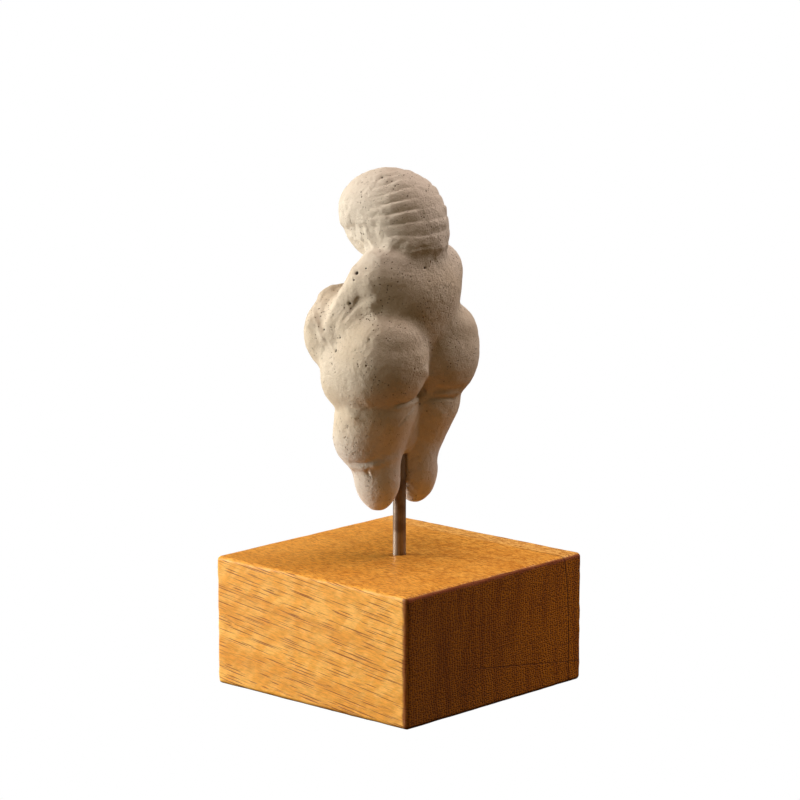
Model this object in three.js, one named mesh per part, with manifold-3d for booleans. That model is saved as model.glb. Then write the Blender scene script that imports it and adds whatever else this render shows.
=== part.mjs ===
// A small cast figurine of a broad, full-bodied woman with her hair in rolled rows.
// It stands clear of a square oak block, on a steel rod that runs up between its legs.
// Millimetres, +Z up. The origin is the middle of the block's underside.
// Her front faces -Y and her left side +X, square with the block. The wood's grain runs along Y.
import * as THREE from "three";
import { RoundedBoxGeometry } from "three/addons/geometries/RoundedBoxGeometry.js";
import { mergeVertices, toCreasedNormals } from "three/addons/utils/BufferGeometryUtils.js";
import Module from "manifold-3d";

const wasm = await Module();
wasm.setup();

// Driving dimensions
const figureHeight = 108.7;
const soleClearance = 15.6; // from the block's top face up to the soles
const blockWidth = 83; // along X
const blockDepth = 83; // along Y, the way of the grain
const blockHeight = 42;
const blockEdgeRadius = 1.2;
const rodDiameter = 4.2;
const rodTipChamfer = 0.4;
const rodSeatInBlock = 25; // how deep the rod stands in the block
const rodSeatInFigure = 26; // how far it goes up past the place where the legs meet
const rodClearance = 0.3; // glue gap all round the rod, and at both of its ends

const roundSides = 24;

const point = (x, y, z) => new THREE.Vector3(x, y, z);
const degrees = THREE.MathUtils.degToRad;
const tiny = 1e-9;
const weldDistance = 1e-4;
const creaseAngle = degrees(35);

const plaster = { color: 0xd8c4a4, roughness: 0.85, metalness: 0 };
const oak = { color: 0xc88a3c, roughness: 0.45, metalness: 0 };
const steel = { color: 0x6b5a4c, roughness: 0.4, metalness: 0.9 };

// The figure's form is free. It is given in its own units, and scaled to the height at the end.
// These are the rounded masses of the body. Those beside the middle are given for her left and mirrored.
// A fullness of 2 is an ellipsoid, and more is squarer. Soft is how widely a mass blends into the rest.
const back = { at: point(0, 3.8, 70.8), radii: point(18.5, 14.9, 16.8) };
const waist = { at: point(0, 1, 60), radii: point(17.5, 13, 12), soft: 6 };
const belly = { at: point(0, -9, 46), radii: point(17, 13, 14), soft: 5 };
const shoulder = { at: point(11.2, 4, 76.9), radii: point(9.2, 9.2, 8.6), soft: 4 };
const flank = { at: point(14.8, -3.6, 61), radii: point(8.3, 10.2, 12), soft: 3 };
const waistRoll = { at: point(14, 3.4, 66.2), radii: point(5, 5, 3.4), soft: 2 };
const buttock = { at: point(12, 4.9, 50.4), radii: point(14, 13.2, 15.8), fullness: 2.1 };
const hip = { at: point(13, -2.8, 44.8), radii: point(13.1, 13.9, 13.2), fullness: 2.2, soft: 5 };
const haunch = { at: point(12.8, 6.5, 58.4), radii: point(10.3, 10.3, 7.4), soft: 2.5 };
const breast = { at: point(11.2, -15, 56.5), radii: point(11.8, 11.5, 13), soft: 3 };
const cleftSoft = 3; // between the two halves of the seat
const seatSoft = 2.5; // between the seat and the waist

// The thigh is a cone with round ends, and the calf a rounded mass.
const thigh = { from: point(10.2, -0.4, 35), to: point(9.3, -4.2, 24.6), thick: 13, thin: 11.8 };
const calf = { at: point(8.7, -1.5, 12.2), radii: point(6.8, 7.9, 11.7), soft: 1.6 };
const legsJoin = { at: point(0, -1, 31.5), radii: point(6, 9, 14.5) };

// The arm hangs from the shoulder, bends at the elbow and lies over the top of the breast.
const armJoints = [
  { at: point(15.4, 0.8, 76), radius: 6 }, // shoulder
  { at: point(19.8, -11.4, 57), radius: 3.6 }, // elbow
  { at: point(20.4, -17, 60), radius: 2.9 }, // side of the breast
  { at: point(13.3, -19.8, 67.1), radius: 2.3 }, // wrist
  { at: point(6, -18.5, 69.3), radius: 2 }, // fingertips
];

// The head bows forward about the point that the rows of hair circle.
const headCentre = point(0, -3.1, 92.2);
const bow = degrees(13);
const skull = { at: point(0, -3.5, 95.5), radii: point(14, 18.8, 13.6) };
const napeHair = { at: point(0, 2.2, 89), radii: point(13.3, 14.8, 11.3), soft: 4 };
const jaw = { at: point(0, -9, 89), radii: point(9.6, 9.8, 9.2), soft: 2.5 };

// The hair: rolled rows round a knot at the crown, each the same arc of the head.
const rowArc = degrees(12);
const rowRelief = 0.95;
const rowSkew = 0.5; // under 1, a row's lip is nearer its upper edge
const proudShare = 0.35; // of the rows' relief, how much stands out from the head's masses
const napeArc = degrees(128);
const hairlineArc = degrees(60); // lower edge of the hair over the brow, from the crown
const faceHalfWidth = degrees(37); // the bare face, to each side of the front
const hairFade = degrees(8);

// The face: soft swellings and hollows, each at a height and a distance from the middle.
const faceRelief = [
  { side: 0, height: -0.3, wide: 1.3, tall: 3.4, rise: 1.5 }, // bridge of the nose
  { side: 0, height: -2.9, wide: 1.9, tall: 1.4, rise: 1 }, // tip of the nose
  { side: 3.4, height: 4.2, wide: 2.8, tall: 1.1, rise: 0.45 }, // brow
  { side: 3.5, height: 1.5, wide: 2.4, tall: 1.6, rise: -0.75 }, // eye socket
  { side: 3.5, height: 1.4, wide: 1.4, tall: 0.8, rise: 0.5 }, // closed lid
  { side: 0, height: -5.9, wide: 2.3, tall: 0.7, rise: 0.5 }, // upper lip
  { side: 0, height: -7.3, wide: 1.9, tall: 0.7, rise: 0.5 }, // lower lip
  { side: 0, height: -8.8, wide: 1.9, tall: 0.7, rise: -0.3 }, // hollow over the chin
];

function smoothUnion(a, b, width) {
  const share = Math.max(width - Math.abs(a - b), 0) / width;
  return Math.min(a, b) - (share * share * width) / 4;
}

// About how far p is outside a rounded mass.
function toMass(p, { at, radii, fullness = 2 }) {
  const q = p.clone().sub(at).divide(radii).toArray().map(Math.abs);
  const reach = q.reduce((sum, x) => sum + x ** fullness, tiny) ** (1 / fullness);
  const slope = Math.hypot(...q.map((x, i) => x ** (fullness - 1) / radii.getComponent(i)));
  return ((reach - 1) * reach ** (fullness - 1)) / (slope + tiny);
}

// How far p is outside a cone with round ends.
function toLimb(p, { from, to, thick, thin }) {
  const axis = to.clone().sub(from);
  const length = axis.length();
  const slope = (thick - thin) / length;
  const q = p.clone().sub(from);
  const along = q.dot(axis) / length;
  const across = Math.sqrt(Math.max(q.lengthSq() - along * along, 0));
  const lean = Math.sqrt(1 - slope * slope);
  const foot = along - (across * slope) / lean;
  const seat = THREE.MathUtils.clamp(foot, 0, length);
  return Math.hypot(across, along - seat) - (thick - slope * seat);
}

const leftSide = (p) => point(Math.abs(p.x), p.y, p.z);
const rightSide = (p) => point(-Math.abs(p.x), p.y, p.z);

// Both of a mirrored pair, joined softly where they meet in the middle.
const pair = (shape, p, width) => smoothUnion(shape(leftSide(p)), shape(rightSide(p)), width);

const blend = (far, p, mass) => smoothUnion(far, toMass(p, mass), mass.soft);

const seat = (p) => [hip, haunch].reduce((far, mass) => blend(far, p, mass), toMass(p, buttock));

function trunk(p) {
  const left = leftSide(p);
  const upper = [waist, belly, shoulder, flank, waistRoll];
  const torso = upper.reduce((far, mass) => blend(far, left, mass), toMass(p, back));
  return blend(smoothUnion(torso, pair(seat, p, cleftSoft), seatSoft), left, breast);
}

const leg = (p) => blend(toLimb(p, thigh), p, calf);

// How much of the rows' relief a point at this arc from the crown and turn from the front has.
function hairCover(arc, turn) {
  const inside = (edge, x) => THREE.MathUtils.clamp((edge - x) / hairFade, 0, 1);
  return inside(napeArc, arc) * Math.max(inside(hairlineArc, arc), inside(-faceHalfWidth, -turn));
}

function rows(q) {
  const arc = Math.acos(THREE.MathUtils.clamp(q.z / (q.length() + tiny), -1, 1));
  const turn = Math.atan2(Math.abs(q.x), -q.y);
  const place = arc / rowArc;
  const down = place - Math.floor(place);
  const roll = place < 1 ? Math.cos((Math.PI * place) / 2) : Math.sin(Math.PI * down ** rowSkew);
  return rowRelief * (Math.sqrt(Math.abs(roll)) * hairCover(arc, turn) - 1 + proudShare);
}

function face(q) {
  if (q.y > 0) return 0;
  const bump = ({ side, height, wide, tall, rise }) =>
    rise * Math.exp(-(((Math.abs(q.x) - side) / wide) ** 2) - ((q.z - height) / tall) ** 2);
  return faceRelief.reduce((sum, feature) => sum + bump(feature), 0);
}

function head(p) {
  const q = p.clone().sub(headCentre).applyAxisAngle(point(1, 0, 0), -bow);
  const hair = blend(toMass(p, skull), p, napeHair) - rows(q);
  return blend(hair, p, jaw) - face(q);
}

// The outermost place where a ray from start along direction leaves the form.
// It comes in from outside by a careful share of what is left, as the forms' distances are rough.
function surfacePoint(form, start, direction) {
  const farthest = 48;
  const close = 0.002;
  const mostSteps = 80;
  const care = 0.8;
  let outside = farthest;
  for (let step = 0; step < mostSteps; step++) {
    const gap = form(start.clone().addScaledVector(direction, outside));
    if (gap < close) break;
    outside -= care * gap;
  }
  return start.clone().addScaledVector(direction, outside);
}

// The starts of rings of rays, from one rise over the horizontal to another.
function fan(start, low, high, steps) {
  return Array.from({ length: steps - 1 }, (_, i) => ({
    start,
    rise: low + ((high - low) * (i + 1)) / steps,
  }));
}

// The starts of level rings of rays, up a core line of points.
function shaft(core, steps) {
  return Array.from({ length: steps + 1 }, (_, i) => {
    const place = (i / steps) * (core.length - 1);
    const from = Math.min(Math.floor(place), core.length - 2);
    return { start: core[from].clone().lerp(core[from + 1], place - from), rise: 0 };
  });
}

// A closed skin over a form, through the places where rings of rays leave it.
function skin(form, rings, { sides, tilt = 0 }) {
  const quarter = Math.PI / 2;
  const tiltAxis = point(1, 0, 0);
  const throwTo = ({ start, rise }, turn) => {
    const level = point(Math.cos(turn), Math.sin(turn), 0).multiplyScalar(Math.cos(rise));
    const direction = level.setZ(Math.sin(rise)).applyAxisAngle(tiltAxis, tilt);
    return surfacePoint(form, start, direction);
  };
  const lastRing = rings.length - 1;
  const points = [throwTo({ start: rings[0].start, rise: -quarter }, 0)];
  for (const ring of rings)
    for (let j = 0; j < sides; j++) points.push(throwTo(ring, (2 * Math.PI * j) / sides));
  points.push(throwTo({ start: rings[lastRing].start, rise: quarter }, 0));

  const triangles = [];
  const at = (ring, j) => 1 + ring * sides + (j % sides);
  const top = points.length - 1;
  for (let j = 0; j < sides; j++) {
    triangles.push(0, at(0, j + 1), at(0, j));
    for (let ring = 0; ring < lastRing; ring++) {
      const [a, b, c, d] = [at(ring, j), at(ring, j + 1), at(ring + 1, j + 1), at(ring + 1, j)];
      triangles.push(a, b, c, a, c, d);
    }
    triangles.push(top, at(lastRing, j), at(lastRing, j + 1));
  }
  return new THREE.BufferGeometry().setFromPoints(points).setIndex(triangles);
}

function solid(geometry) {
  const bare = geometry.index ? geometry.toNonIndexed() : geometry.clone();
  bare.deleteAttribute("normal");
  bare.deleteAttribute("uv");
  const merged = mergeVertices(bare, weldDistance);
  return new wasm.Manifold(
    new wasm.Mesh({
      numProp: 3,
      vertProperties: new Float32Array(merged.attributes.position.array),
      triVerts: new Uint32Array(merged.index.array),
    }),
  );
}

function geometryOf(made) {
  const mesh = made.getMesh();
  return new THREE.BufferGeometry()
    .setAttribute("position", new THREE.BufferAttribute(new Float32Array(mesh.vertProperties), 3))
    .setIndex(new THREE.BufferAttribute(new Uint32Array(mesh.triVerts), 1));
}

// An upright cylinder from one height to another, on the rod's axis.
function upright(radius, from, to) {
  return new THREE.CylinderGeometry(radius, radius, to - from, roundSides)
    .rotateX(Math.PI / 2)
    .translate(0, 0, (from + to) / 2);
}

// A limb as a closed solid of its own.
function limbSolid(start, end, { sides, endRings }) {
  const axis = end.at.clone().sub(start.at);
  const length = axis.length();
  const tangent = Math.asin((start.radius - end.radius) / length);
  const quarter = Math.PI / 2;
  const profile = [];
  const addArc = (radius, height, from, to) => {
    for (let i = 0; i <= endRings; i++) {
      const angle = from + ((to - from) * i) / endRings;
      profile.push(new THREE.Vector2(radius * Math.cos(angle), height + radius * Math.sin(angle)));
    }
  };
  addArc(start.radius, 0, -quarter, tangent);
  addArc(end.radius, length, tangent, quarter);
  profile[0].x = 0;
  profile[profile.length - 1].x = 0;
  const turn = new THREE.Quaternion().setFromUnitVectors(point(0, 1, 0), axis.normalize());
  return new THREE.LatheGeometry(profile, sides).applyQuaternion(turn).translate(...start.at);
}

function mirrored(geometry) {
  const other = geometry.clone().scale(-1, 1, 1);
  const index = other.index.array;
  for (let i = 0; i < index.length; i += 3) [index[i], index[i + 1]] = [index[i + 1], index[i]];
  return other;
}

// A closed skin round an upright core line, with rings under, along and over the line.
function skinAlong(form, core, { sides, under, along, over }) {
  const rings = [
    ...fan(core[0], -Math.PI / 2, 0, under),
    ...shaft(core, along),
    ...fan(core.at(-1), 0, Math.PI / 2, over),
  ];
  return skin(form, rings, { sides });
}

function trunkSkin() {
  const core = [point(0, -1, 41), point(0, 0.5, 58), point(0, 2, 74)];
  return skinAlong(trunk, core, { sides: 52, under: 10, along: 15, over: 6 });
}

function legSkin() {
  const core = [point(8.9, -1.6, 6), point(9.4, -1.8, 14), point(9.5, -4.2, 24), point(10, -1, 36)];
  return skinAlong(leg, core, { sides: 22, under: 5, along: 16, over: 3 });
}

function headSkin() {
  const sides = 38;
  const ringsInRow = 3;
  const steps = Math.round((ringsInRow * Math.PI) / rowArc);
  return skin(head, fan(headCentre, -Math.PI / 2, Math.PI / 2, steps), { sides, tilt: bow });
}

// The web of plaster that joins the thighs.
function webSolid() {
  const [sides, rings] = [16, 12];
  return new THREE.SphereGeometry(1, sides, rings).scale(...legsJoin.radii).translate(...legsJoin.at);
}

// The whole form, before its bore, in its own units.
function makeForm() {
  const limbMesh = { sides: 12, endRings: 3 };
  const arm = armJoints.slice(1).map((end, i) => limbSolid(armJoints[i], end, limbMesh));
  const leftLimbs = [legSkin(), ...arm];
  const pieces = [trunkSkin(), webSolid(), headSkin(), ...leftLimbs, ...leftLimbs.map(mirrored)];
  return pieces.map(solid).reduce((sum, piece) => sum.add(piece));
}

const form = makeForm();
const [solesAt, crownAt] = [form.boundingBox().min[2], form.boundingBox().max[2]];
const unit = figureHeight / (crownAt - solesAt);

// Where the rod ends, measured from the block's top face.
const rodFoot = -rodSeatInBlock;
const legsMeetAt = soleClearance + (legsJoin.at.z - legsJoin.radii.z - solesAt) * unit;
const rodTip = legsMeetAt + rodSeatInFigure;
const boreRadius = rodDiameter / 2 + rodClearance;

function makeFigure() {
  const bore = solid(upright(boreRadius, -soleClearance, rodTip - soleClearance + rodClearance));
  return geometryOf(form.translate(0, 0, -solesAt).scale(unit).subtract(bore));
}

function makeRod() {
  const radius = rodDiameter / 2;
  const length = rodTip - rodFoot;
  const profile = [
    new THREE.Vector2(0, 0),
    new THREE.Vector2(radius - rodTipChamfer, 0),
    new THREE.Vector2(radius, rodTipChamfer),
    new THREE.Vector2(radius, length - rodTipChamfer),
    new THREE.Vector2(radius - rodTipChamfer, length),
    new THREE.Vector2(0, length),
  ];
  return new THREE.LatheGeometry(profile, roundSides).rotateX(Math.PI / 2);
}

function makeBlock() {
  const edgeSegments = 2;
  const geometry = new RoundedBoxGeometry(
    blockWidth,
    blockDepth,
    blockHeight,
    edgeSegments,
    blockEdgeRadius,
  ).translate(0, 0, blockHeight / 2);
  const above = 1;
  const bore = upright(boreRadius, blockHeight + rodFoot - rodClearance, blockHeight + above);
  return geometryOf(solid(geometry).subtract(solid(bore)));
}

function named(name, made, finish, height) {
  const material = new THREE.MeshStandardMaterial(finish);
  const mesh = new THREE.Mesh(toCreasedNormals(made, creaseAngle), material);
  mesh.name = name;
  mesh.position.z = height;
  return mesh;
}

const part = new THREE.Group();
part.name = "figurine_on_block";
part.add(named("block", makeBlock(), oak, 0));
part.add(named("rod", makeRod(), steel, blockHeight + rodFoot));
part.add(named("figure", makeFigure(), plaster, blockHeight + soleClearance));

export default part;
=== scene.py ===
# The figurine's finished look: a fine plaster skin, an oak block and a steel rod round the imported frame,
# with the camera, light and floor of the photograph.
# Blender works in metres. Forms are worked out in millimetres and carried over at the end.
import collections
import functools
import math

import bmesh
import bpy
import numpy as np
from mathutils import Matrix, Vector


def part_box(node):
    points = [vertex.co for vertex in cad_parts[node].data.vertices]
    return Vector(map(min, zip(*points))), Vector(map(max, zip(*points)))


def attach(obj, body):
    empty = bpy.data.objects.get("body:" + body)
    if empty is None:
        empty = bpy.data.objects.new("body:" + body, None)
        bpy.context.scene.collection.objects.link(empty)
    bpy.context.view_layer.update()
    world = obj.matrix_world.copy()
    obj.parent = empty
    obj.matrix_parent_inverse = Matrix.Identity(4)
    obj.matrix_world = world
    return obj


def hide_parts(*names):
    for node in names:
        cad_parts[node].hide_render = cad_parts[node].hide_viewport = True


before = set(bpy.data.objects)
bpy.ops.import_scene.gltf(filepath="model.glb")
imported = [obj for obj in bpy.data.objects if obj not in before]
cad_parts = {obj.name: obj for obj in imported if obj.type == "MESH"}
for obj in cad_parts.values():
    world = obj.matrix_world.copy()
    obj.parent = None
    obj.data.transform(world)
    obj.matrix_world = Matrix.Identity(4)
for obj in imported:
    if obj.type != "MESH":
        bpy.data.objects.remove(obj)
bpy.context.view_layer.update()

MM = 0.001
BODY = "root"


def add_object(name, data):
    made = bpy.data.objects.new(name, data)
    bpy.context.scene.collection.objects.link(made)
    return made


def node_corners(node):
    """The lowest and highest corners of one of the frame's nodes, in millimetres."""
    return [np.array(corner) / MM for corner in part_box(node)]


# Camera, which sees what the photograph shows
PHOTO_SIZE = 800
SENSOR = 36
CAMERA_LENS = 160.08
CAMERA_TURN = math.radians(47.345)  # from her back towards her left side
CAMERA_RISE = math.radians(10.79)
CAMERA_DISTANCE = 1131.65
CAMERA_CLIP = 50
AIM_HEIGHT = 92.285
AIM_ASIDE = 0.178

level_way = Vector((math.sin(CAMERA_TURN), math.cos(CAMERA_TURN), 0))
image_right = Vector((-math.cos(CAMERA_TURN), math.sin(CAMERA_TURN), 0))
camera_way = level_way * math.cos(CAMERA_RISE) + Vector((0, 0, math.sin(CAMERA_RISE)))
image_up = camera_way.cross(image_right)
aim = Vector((0, 0, AIM_HEIGHT)) + image_right * AIM_ASIDE


def look_along(way):
    return way.to_track_quat("-Z", "Y").to_euler()


camera_data = bpy.data.cameras.new("camera")
camera_data.sensor_width = SENSOR
camera_data.lens = CAMERA_LENS
camera_data.clip_start = CAMERA_CLIP * MM
camera = add_object("camera", camera_data)
camera.location = (aim + camera_way * CAMERA_DISTANCE) * MM
camera.rotation_euler = look_along(-camera_way)
bpy.context.scene.camera = camera


# Figure: the same rounded masses as the solid's, in its own units, which are about millimetres.
# A fullness of 2 is an ellipsoid, and more is squarer. Soft is how widely a mass blends into the rest.
BACK = {"at": (0, 3.8, 70.8), "radii": (18.5, 14.9, 16.8)}
WAIST = {"at": (0, 1, 60), "radii": (17.5, 13, 12), "soft": 6}
BELLY = {"at": (0, -9, 46), "radii": (17, 13, 14), "soft": 5}
SHOULDER = {"at": (11.2, 4, 76.9), "radii": (9.2, 9.2, 8.6), "soft": 4}
FLANK = {"at": (14.8, -3.6, 61), "radii": (8.3, 10.2, 12), "soft": 3}
WAIST_ROLL = {"at": (14, 3.4, 66.2), "radii": (5, 5, 3.4), "soft": 2}
BUTTOCK = {"at": (12, 4.9, 50.4), "radii": (14, 13.2, 15.8), "fullness": 2.1}
HIP = {"at": (13, -2.8, 44.8), "radii": (13.1, 13.9, 13.2), "fullness": 2.2, "soft": 5}
HAUNCH = {"at": (12.8, 6.5, 58.4), "radii": (10.3, 10.3, 7.4), "soft": 2.5}
BREAST = {"at": (11.2, -15, 56.5), "radii": (11.8, 11.5, 13), "soft": 4}
CLEFT_SOFT = 3
SEAT_SOFT = 2.5

# Limbs: cones with round ends, each end a place and a radius, and a rounded mass for the calf
THIGH = (((10.2, -0.4, 35), 13), ((9.3, -4.2, 24.6), 11.8))
CALF = {"at": (8.7, -1.5, 12.2), "radii": (6.8, 7.9, 11.7), "soft": 3.5}
LEGS_JOIN = {"at": (0, -1, 31.5), "radii": (6, 9, 14.5), "soft": 1}
ARM = (
    ((15.4, 0.8, 76), 6),  # shoulder
    ((19.8, -11.4, 57), 3.6),  # elbow
    ((20.4, -17, 60), 2.9),  # side of the breast
    ((13.3, -19.8, 67.1), 2.3),  # wrist
    ((6, -18.5, 69.3), 2),  # fingertips
)
LEGS_SOFT = 1.3
ARM_SOFT = 0.9
ARM_JOINT_SOFT = 1
NECK_SOFT = 2

# Head, bowed about the point that the rows of hair circle
HEAD_CENTRE = (0, -3.1, 92.2)
BOW = math.radians(13)
SKULL = {"at": (0, -3.5, 95.5), "radii": (14, 18.8, 13.6)}
NAPE_HAIR = {"at": (0, 2.2, 89), "radii": (13.3, 14.8, 11.3), "soft": 4}
JAW = {"at": (0, -9, 89), "radii": (9.6, 9.8, 9.2), "soft": 2.5}

# Seeded noise: how far it rises, the size of its features and its seed
Noise = collections.namedtuple("Noise", "rise size seed")
LATTICE_CELLS = 32

# Rows of hair
ROW_ARC = math.radians(12)
ROW_WANDER = Noise(rise=math.radians(2), size=6, seed=3)
ROW_RELIEF = 0.66
ROW_SKEW = 0.5  # under 1, a row's lip is nearer its upper edge
ROW_FULLNESS = 0.75  # under 1, a row is rounder than a wave
ROW_ROUGHNESS = Noise(rise=0.14, size=1.9, seed=8)
PROUD_SHARE = 0.35
WORN_FILL = 0.5  # how much of the relief's depth is filled where a row is worn away
NAPE_ARC = math.radians(128)
HAIRLINE_ARC = math.radians(60)
FACE_HALF_WIDTH = math.radians(37)
HAIR_FADE = math.radians(8)

# Wear of the rows: along a level way across the head, over the crown, and in gaps along each row
WEAR_WAY = (0.678, -0.735)
SMOOTH_SIDE = (-2, 9)  # where the wear of the smooth side begins, and where it is at its most
SMOOTH_SIDE_WEAR = 0.85
WORN_BAND_AT = -11
WORN_BAND_WIDTH = 3.2
WORN_BAND_WEAR = 0.65
CROWN_ROWS = (0.8, 3.4)  # rows from the top, between which the crown's wear ends
CROWN_LEFT = 0.3
GAPS = Noise(rise=1, size=5, seed=9)
GAP_EDGES = (-0.4, 0.3)
GAP_LEFT = 0.2
HEAD_REACH = 15  # turns an angle round the head into a length
ROWS_APART = 5  # in the gaps' noise, so that each row has its own
RUBBING = Noise(rise=0.3, size=4.5, seed=4)

# Rough knots low on her left
KNOTS = Noise(rise=1, size=1.5, seed=10)
KNOTS_RISE = 0.7
KNOTS_MIDDLE = (10, -7, -7)
KNOTS_REACH = 9

# Face: soft swellings and hollows as (side, height, wide, tall, rise)
FACE_RELIEF = (
    (0, -0.3, 1.3, 3.4, 1.5),  # bridge of the nose
    (0, -2.9, 1.9, 1.4, 1),  # tip of the nose
    (3.4, 4.2, 2.8, 1.1, 0.45),  # brow
    (3.5, 1.5, 2.4, 1.6, -0.75),  # eye socket
    (3.5, 1.4, 1.4, 0.8, 0.5),  # closed lid
    (0, -5.9, 2.3, 0.7, 0.5),  # upper lip
    (0, -7.3, 1.9, 0.7, 0.5),  # lower lip
    (0, -8.8, 1.9, 0.7, -0.3),  # hollow over the chin
)

# Folds and creases, each along a route through pixels of the photograph, laid on the form there.
# Wide is how far a fold spreads to each side, and a rise under 0 is a hollow.
Fold = collections.namedtuple("Fold", "route wide rise")
ARM_FOLDS = (
    Fold(((359, 299), (351, 312), (344, 320)), wide=0.7, rise=-0.35),  # groove behind the arm
    Fold(((367, 286), (365, 299)), wide=2.9, rise=0.75),  # fold over the arm's hollow
    Fold(((333, 291), (338, 292)), wide=2.6, rise=2),  # between the breast and the arm
    Fold(((331, 335), (332, 342)), wide=1.8, rise=0.6),  # under the elbow
    Fold(((342, 287), (341, 294), (337, 304), (331, 315), (327, 326)), wide=1.5, rise=0.3),  # arm's edge
    Fold(((315, 315), (317, 325), (323, 340)), wide=1, rise=0.35),  # forearm's edge
    Fold(((330, 298), (325, 308)), wide=1.8, rise=-0.3),  # inside the bend of the arm
)
WAIST_FOLDS = (
    Fold(((370, 306), (377, 301)), wide=1.8, rise=0.6),  # roll at the side
    Fold(((373, 316), (380, 321)), wide=0.7, rise=0.3),  # lip of the waist
)
SEAT_FOLDS = (
    Fold(((425, 372), (431, 378), (431, 387), (426, 393)), wide=1.5, rise=0.6),  # inner corner
    Fold(((425, 392), (414, 400), (396, 406)), wide=0.6, rise=-0.6),  # crease under the left buttock
    Fold(((424, 396), (413, 404), (397, 409)), wide=0.8, rise=0.5),  # roll under that crease
    Fold(((438, 388), (447, 390), (460, 388)), wide=1.1, rise=-0.5),  # crease under the right buttock
    Fold(((436, 394), (447, 394), (458, 393)), wide=0.8, rise=0.6),  # roll under that crease
    Fold(((430, 399), (440, 398), (453, 399)), wide=0.45, rise=-0.45),  # line under the roll
)
LEG_FOLDS = (
    Fold(((420, 400), (418, 413), (413, 428), (406, 447)), wide=1.2, rise=0.6),  # inner thigh
    Fold(((415, 406), (408, 415), (400, 425)), wide=0.45, rise=-0.5),  # crease across the thigh
    Fold(((350, 414), (354, 418)), wide=1.6, rise=0.4),  # outer thigh
    Fold(((351, 467), (362, 468), (374, 466)), wide=1.1, rise=0.45),  # knee fold
    Fold(((374, 466), (386, 462), (398, 457)), wide=1, rise=0.35),  # its inner part
    Fold(((352, 463), (364, 464), (378, 460)), wide=0.9, rise=-0.25),  # crease over it
    Fold(((368, 470), (367, 472), (369, 475)), wide=0.4, rise=-0.45),  # dimple under the knee
    Fold(((371, 471), (371, 474)), wide=0.5, rise=0.25),  # rim of the dimple
    Fold(((407, 484), (413, 491), (419, 497)), wide=0.9, rise=-0.2),  # inner right foot
)
BROKEN_ROWS = (  # by the face
    Fold(((342, 222), (349, 221)), wide=2, rise=0.7),
    Fold(((343, 223), (355, 221), (371, 223)), wide=1.2, rise=0.35),
    Fold(((345, 228), (358, 228), (370, 230)), wide=1, rise=-0.25),
    Fold(((345, 233), (352, 237), (362, 240)), wide=1, rise=0.45),
    Fold(((365, 231), (369, 239), (374, 248)), wide=1, rise=0.3),
    Fold(((374, 232), (378, 242)), wide=1, rise=-0.2),
)
NAPE_FILLS = (
    Fold(((368, 255), (382, 258), (398, 260)), wide=1.8, rise=0.5),
    Fold(((392, 248), (402, 249), (412, 250)), wide=2.4, rise=1.3),
    Fold(((412, 250), (424, 251), (439, 248)), wide=2.6, rise=1.4),
    Fold(((405, 262), (425, 261), (444, 252)), wide=2.2, rise=0.9),
)
NAPE_POCKETS = (  # under the last rows
    Fold(((404, 243), (413, 243)), wide=1, rise=-0.35),
    Fold(((410, 251), (424, 251)), wide=1.2, rise=-0.3),
    Fold(((404, 248), (414, 246), (424, 245)), wide=0.7, rise=0.45),  # lip between them
)
FOLDS = ARM_FOLDS + WAIST_FOLDS + SEAT_FOLDS + LEG_FOLDS + BROKEN_ROWS + NAPE_FILLS + NAPE_POCKETS
FOLD_REACH = 2.5  # in widths, past which a fold has faded out
FOLD_UNEVENNESS = Noise(rise=0.25, size=2, seed=11)

# Large pits: a place in the photograph and a radius
PITS = (
    ((356.6, 273.5), 0.55),
    ((335.5, 351), 0.5),
    ((354, 280.5), 0.3),
    ((350, 304), 0.35),
    ((324, 330), 0.3),
    ((340, 338), 0.3),
    ((369, 340), 0.25),
    ((382, 178), 0.3),
    ((424.5, 268.5), 0.3),
    ((366, 269), 0.25),
    ((429.5, 282), 0.25),
)
PIT_DEPTH = 1.1

# How the photograph's pixels are laid on the form
FORM_RISE = 57.05  # the table to the form's zero
SIGHT_CLEAR = 60  # a line of sight starts this far before the object's middle
SIGHT_ROUNDS = 60
SIGHT_CARE = 0.7  # the share of the way to the form that each round goes

# The figure's bore and its mesh
BORE_RADIUS = 2.3
BORE_TOP = 43.4
BORE_SOFT = 0.5
UNEVENNESS = (
    Noise(rise=0.16, size=7, seed=1),
    Noise(rise=0.09, size=2.4, seed=2),
    Noise(rise=0.06, size=1.2, seed=7),
)
FORM_LOW = (-28, -29, -1.5)
FORM_HIGH = (28, 22, 112)
GRID_STEP = 0.4
COARSE_STEPS = 4
NEAR_SHARE = 1.6  # of a coarse step, within which the fine grid is worked out
SETTLE_ROUNDS = 2
SETTLE_REACH = 0.02
TRIANGLE_LIMIT = 190000
TINY = 1e-6


def smooth_union(a, b, width):
    share = np.maximum(width - np.abs(a - b), 0) / width
    return np.minimum(a, b) - share * share * width / 4


def smooth_step(low, high, value):
    share = np.clip((value - low) / (high - low), 0, 1)
    return share * share * (3 - 2 * share)


@functools.cache
def lattice_of(seed):
    cells = (LATTICE_CELLS, LATTICE_CELLS, LATTICE_CELLS)
    return np.random.default_rng(seed).uniform(-1, 1, cells).astype(np.float32)


def ripple(p, noise):
    """Smooth seeded noise, which rises and falls by about its rise."""
    lattice = lattice_of(noise.seed)
    corner = [np.floor(axis / noise.size).astype(int) for axis in p]
    share = [smooth_step(0, 1, axis / noise.size - low) for axis, low in zip(p, corner)]
    total = np.zeros_like(p[0])
    for i in (0, 1):
        for j in (0, 1):
            for k in (0, 1):
                weight = 1
                for step, part in zip((i, j, k), share):
                    weight = weight * (part if step else 1 - part)
                spot = [(low + step) % LATTICE_CELLS for low, step in zip(corner, (i, j, k))]
                total += weight * lattice[spot[0], spot[1], spot[2]]
    return noise.rise * total


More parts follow.
